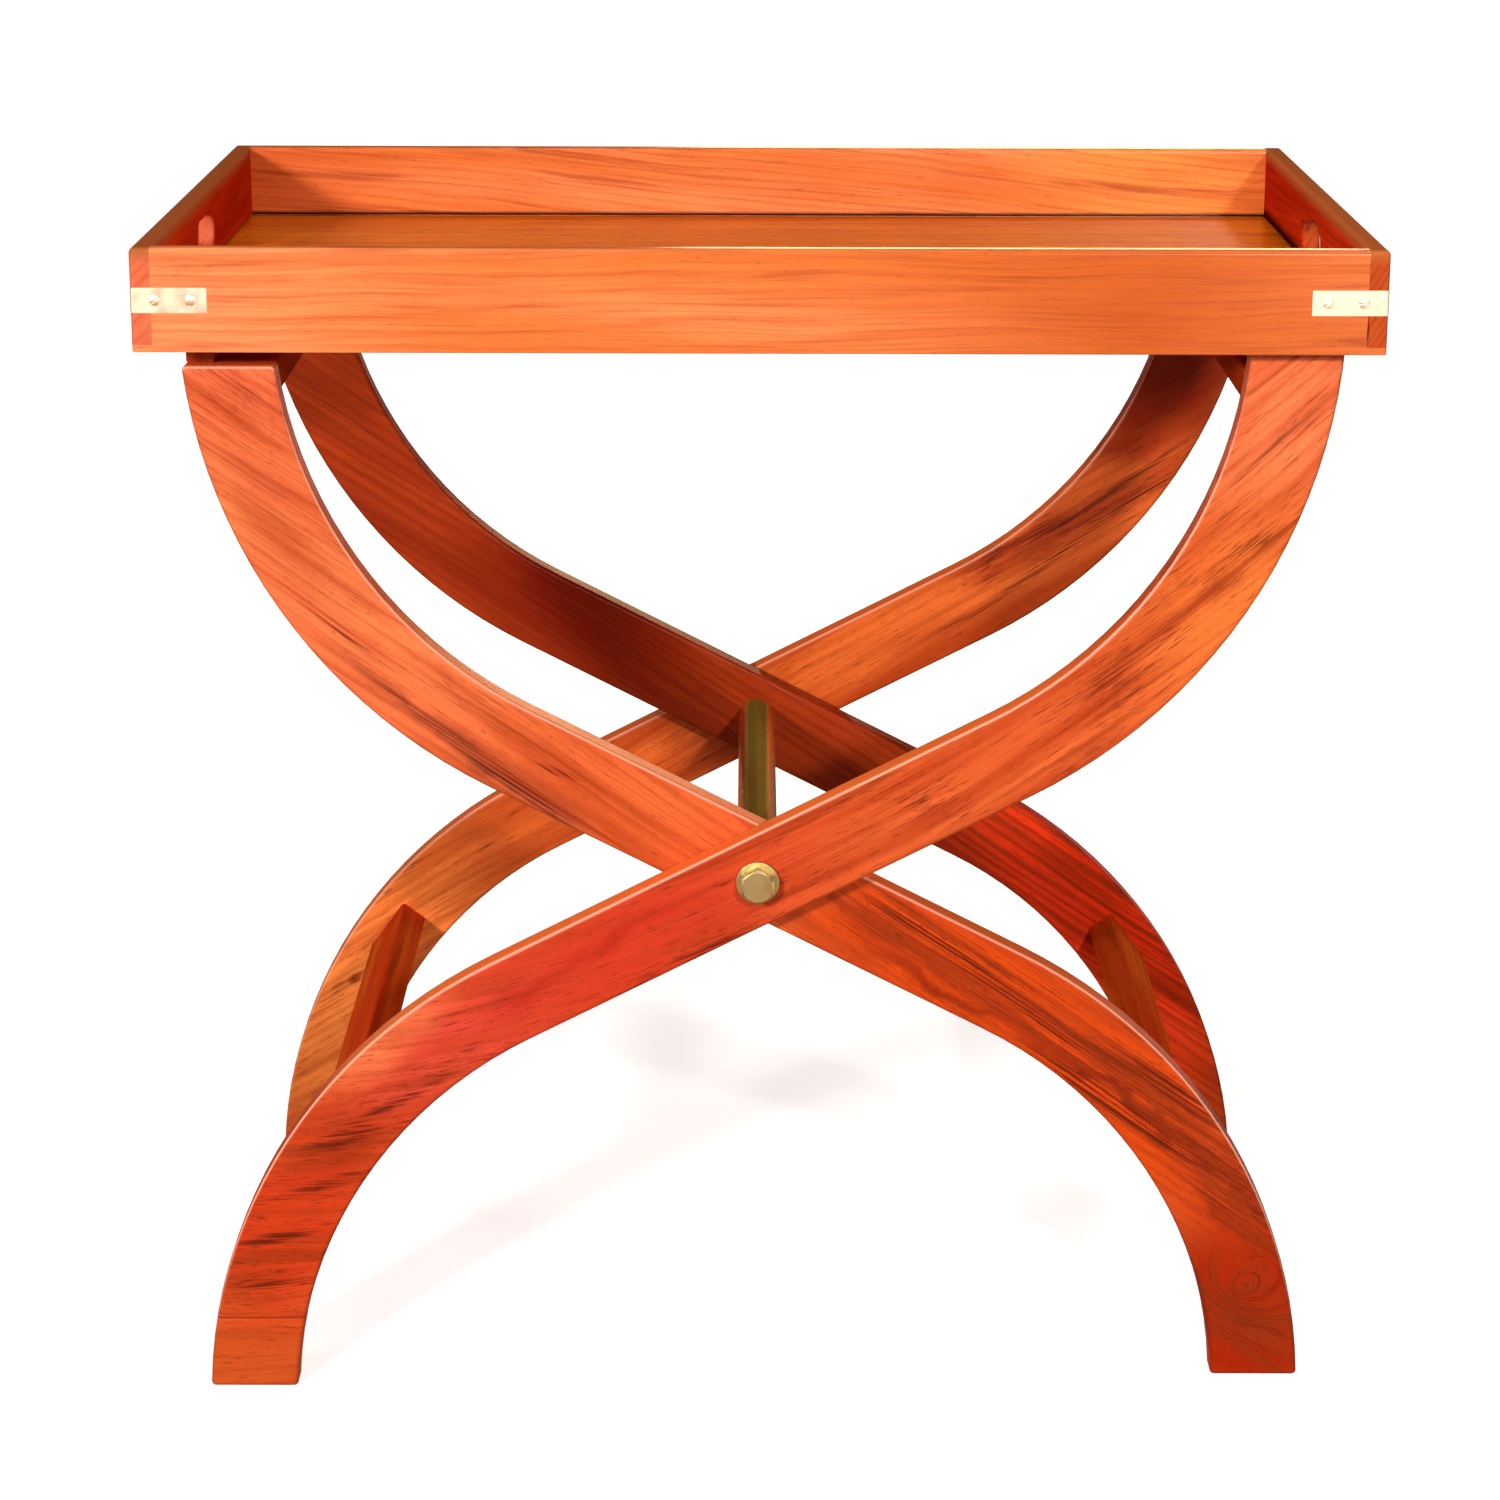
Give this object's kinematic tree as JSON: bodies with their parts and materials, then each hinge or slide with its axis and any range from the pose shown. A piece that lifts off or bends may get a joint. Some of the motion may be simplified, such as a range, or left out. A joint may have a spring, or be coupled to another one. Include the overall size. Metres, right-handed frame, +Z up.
{
  "type": "butlers tray table",
  "caption": "Butlers tray table: a lift-off wooden tray with hand-holes and brass corner straps on a folding stand of crossed S-curved legs.",
  "frame": {"origin": "on the floor under the middle of the tray", "axes": "+Z up, +X to the right along the tray's length, front towards -Y"},
  "size_m": [0.7404, 0.4944, 0.7405],
  "materials": {
    "tray_wood": "varnished",
    "stand_wood": "varnished",
    "brass": "polished and lightly aged"
  },
  "bodies": {
    "outer_frame": {"outer_front_leg": "stand_wood", "outer_rear_leg": "stand_wood", "outer_top_rail": "stand_wood", "outer_lower_stretcher": "stand_wood", "outer_frame_dowels": "stand_wood", "pivot_bolt": "brass", "pivot_nut": "brass", "bolt_washers": "brass", "leg_washers": "brass"},
    "inner_frame": {"inner_front_leg": "stand_wood", "inner_rear_leg": "stand_wood", "inner_top_rail": "stand_wood", "inner_lower_stretcher": "stand_wood", "inner_frame_dowels": "stand_wood", "pivot_spacer_tube": "brass"},
    "tray": {"tray_front_board": "tray_wood", "tray_rear_board": "tray_wood", "tray_left_end": "tray_wood", "tray_right_end": "tray_wood", "tray_floor_panel": "tray_wood", "tray_left_batten": "tray_wood", "tray_right_batten": "tray_wood", "front_left_corner_strap": "brass", "front_right_corner_strap": "brass", "rear_left_corner_strap": "brass", "rear_right_corner_strap": "brass", "strap_screws": "brass", "batten_screws": "brass"}
  },
  "joints": [
    {"name": "stand_fold", "type": "hinge", "parent": "outer_frame", "child": "inner_frame", "pos_m": [0, 0, 0.342], "axis": [0, 1, 0], "range_deg": [0, 84]},
    {"name": "tray_lift", "type": "slide", "parent": "outer_frame", "child": "tray", "axis": [0, 0, 1], "range_m": [0, 0.6]}
  ],
  "couplings": [
    {"joint": "tray_lift", "follows": "stand_fold", "m_per_rad": 0.409}
  ]
}
